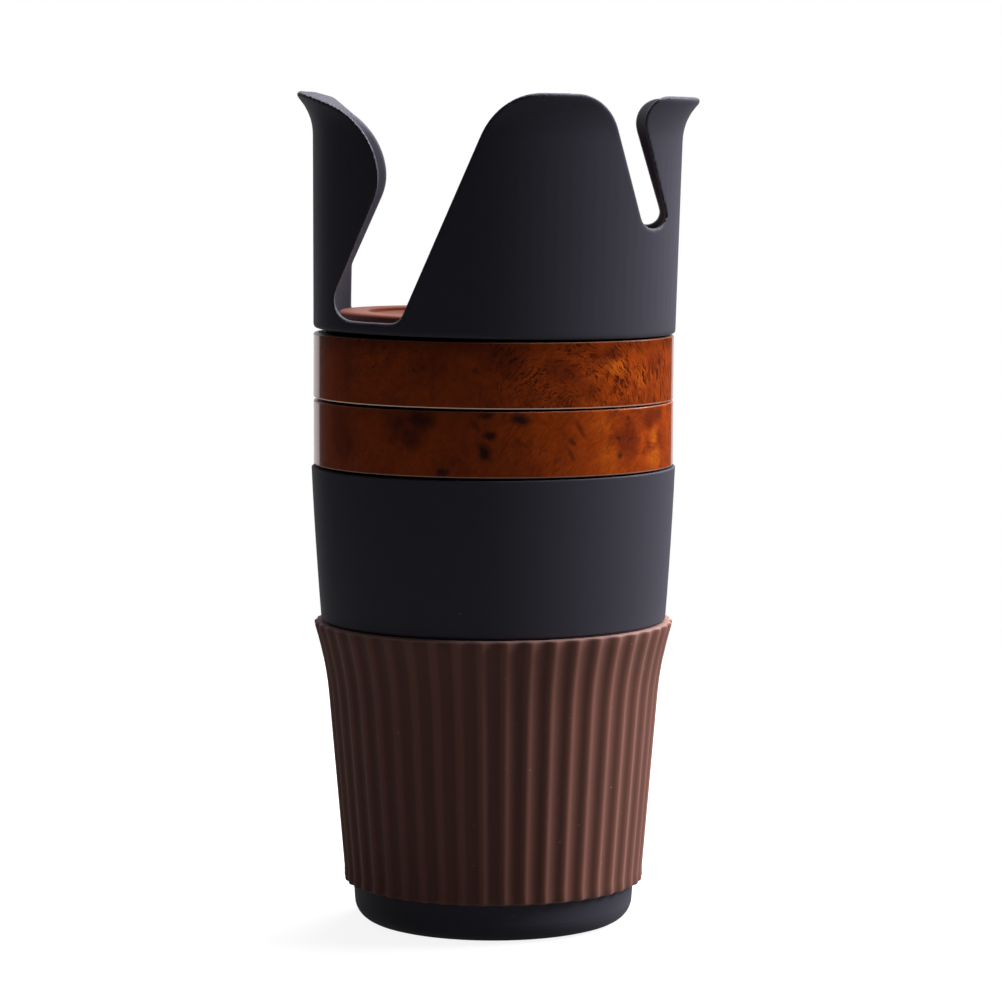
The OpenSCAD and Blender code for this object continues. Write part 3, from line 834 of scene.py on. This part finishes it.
def make_crown_mat():
    """The petalled cup's mat, with a soft raised rim and a stepped pocket for the washer and screw."""
    r, rim, h, low, soft, soft_in, foot_edge = 35.6, 6.6, 1.9, 0.95, 0.85, 0.45, 0.3
    hollow, floor = r - rim, 2.2
    section = [(0, 0)]
    section += corner(r - foot_edge, foot_edge, foot_edge, -90, 3)
    section += corner(r - soft, h - soft, soft, 0, 6)
    for angle in (0, 30, 60, 90):
        inward = soft_in * math.sin(math.radians(angle))
        upward = soft_in * math.cos(math.radians(angle))
        section += [(hollow + soft_in - inward, h - soft_in + upward)]
    section += [(hollow, low + 0.2), (hollow - 0.2, low), (0, low)]
    piece = turned("rimmed_mat", [(x, z + floor) for x, z in section], 192, closed=False)
    lean(piece, CROWN_Z, CROWN_LEAN, CROWN_SHIFT)
    for pocket_r, pocket_top in ((4.7, 139.18), (3.1, 140.28)):
        cut_round(piece, POST_X, pocket_r, 130.0, pocket_top)
    smooth(piece, 50)
    return piece


dress(make_crown_mat(), brick_silicone, "crown", "crown_mat")

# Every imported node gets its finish, the replaced ones too.
finishes = {
    "dark_plastic": soft_navy,
    "tray_plastic": tray_navy,
    "sleeve_silicone": cocoa_silicone,
    "mat_silicone": brick_silicone,
    "wood_band": lower_burl,
    "steel": steel,
    "bearing_plastic": white_acetal,
}
for part in frame["record"]["subparts"]:
    node = cad[part["node"]]
    node.data.materials.clear()
    node.data.materials.append(finishes[part["material_slot"]])

# ---------------------------------------------------------------- stage, lamps and camera


def make_floor():
    """White to the camera apart from the object's shadow, and dim to everything that it would light."""
    select_none()
    bpy.ops.mesh.primitive_circle_add(
        vertices=96, radius=0.45, fill_type="NGON", location=(0, 0, -0.0002)
    )
    floor = bpy.context.object
    floor.name = "pale_floor"
    material = bpy.data.materials.new("pale_floor")
    material.use_nodes = True
    tree = material.node_tree
    tree.nodes.clear()
    path = add(tree, "ShaderNodeLightPath")
    mirrored = maths(tree, "MAXIMUM", path.outputs["Is Glossy Ray"], path.outputs["Is Transmission Ray"])
    seen = maths(tree, "MAXIMUM", path.outputs["Is Camera Ray"], maths(tree, "MULTIPLY", mirrored, 0.15))
    matt = add(tree, "ShaderNodeBsdfDiffuse")
    pale = blend_colour(tree, path.outputs["Is Camera Ray"], (0.1, 0.1, 0.1), (0.3, 0.3, 0.3))
    wire(tree, pale, matt.inputs["Color"])
    glow = add(tree, "ShaderNodeEmission")
    glow.inputs["Color"].default_value = (0.88, 0.88, 0.88, 1)
    wire(tree, seen, glow.inputs["Strength"])
    both = add(tree, "ShaderNodeAddShader")
    wire(tree, matt.outputs[0], both.inputs[0])
    wire(tree, glow.outputs[0], both.inputs[1])
    out = add(tree, "ShaderNodeOutputMaterial")
    wire(tree, both.outputs[0], out.inputs["Surface"])
    floor.data.materials.append(material)


make_floor()


def make_world():
    """White to the camera; for the rest, a white backdrop behind the object and dim grey round it."""
    world = bpy.data.worlds.new("studio")
    bpy.context.scene.world = world
    world.use_nodes = True
    tree = world.node_tree
    tree.nodes.clear()
    place = add(tree, "ShaderNodeTexCoord")
    axis = add(tree, "ShaderNodeVectorMath", operation="DOT_PRODUCT")
    wire(tree, place.outputs["Generated"], axis.inputs[0])
    axis.inputs[1].default_value = (-0.105, 0.9945, 0)
    behind = band_of(tree, axis.outputs["Value"], 0.88, 0.92)
    colour = blend_colour(tree, behind, (0.063, 0.063, 0.065), (1.0, 1.0, 1.0))
    path = add(tree, "ShaderNodeLightPath")
    glossy = maths(tree, "MAXIMUM", path.outputs["Is Glossy Ray"], path.outputs["Is Transmission Ray"])
    mirrored = blend_colour(tree, behind, (0.02, 0.02, 0.021), (0.8, 0.74, 0.75))
    colour = blend_colour(tree, glossy, colour, mirrored)
    colour = blend_colour(tree, path.outputs["Is Camera Ray"], colour, (1.0, 1.0, 1.0))
    back = add(tree, "ShaderNodeBackground")
    wire(tree, colour, back.inputs["Color"])
    out = add(tree, "ShaderNodeOutputWorld")
    wire(tree, back.outputs[0], out.inputs["Surface"])


make_world()


def make_lamp(name, place, size, power, glossy=True):
    """A rectangular lamp that shines at the object's middle; glossy False keeps it out of reflections."""
    target = (0, 0, 0.1)
    data = bpy.data.lights.new(name, "AREA")
    data.shape = "RECTANGLE"
    data.size, data.size_y = size
    data.energy = power
    lamp = bpy.data.objects.new(name, data)
    bpy.context.scene.collection.objects.link(lamp)
    lamp.location = place
    away = [a - b for a, b in zip(place, target)]
    lamp.rotation_euler = Vector(away).to_track_quat("Z", "Y").to_euler()
    lamp.visible_camera = False
    lamp.visible_glossy = glossy


make_lamp("right_key", (1.12, 0.13, 0.72), (0.8, 0.55), 20.0, glossy=False)
make_lamp("right_rear_softbox", (0.75, 0.65, 0.85), (0.5, 0.4), 9.0)
make_lamp("overhead", (0.2, 0.32, 1.2), (0.6, 0.5), 18.0)
make_lamp("left_rear_fill", (-0.8, 0.9, 0.6), (0.8, 0.8), 1.5, glossy=False)

LENS, SENSOR, SHIFT_X = 136.53, 36, 0.0077
CAMERA_PLACE, CAMERA_DIP = (0, -0.8716, 0.18046), 5.47  # metres, and degrees below level

camera_data = bpy.data.cameras.new("photo_camera")
camera_data.lens = LENS
camera_data.sensor_width = SENSOR
camera_data.shift_x = SHIFT_X
camera = bpy.data.objects.new("photo_camera", camera_data)
bpy.context.scene.collection.objects.link(camera)
camera.location = CAMERA_PLACE
camera.rotation_euler = (math.radians(90 - CAMERA_DIP), 0, 0)
bpy.context.scene.camera = camera
bpy.context.scene.view_settings.view_transform = "Standard"

bpy.context.view_layer.update()
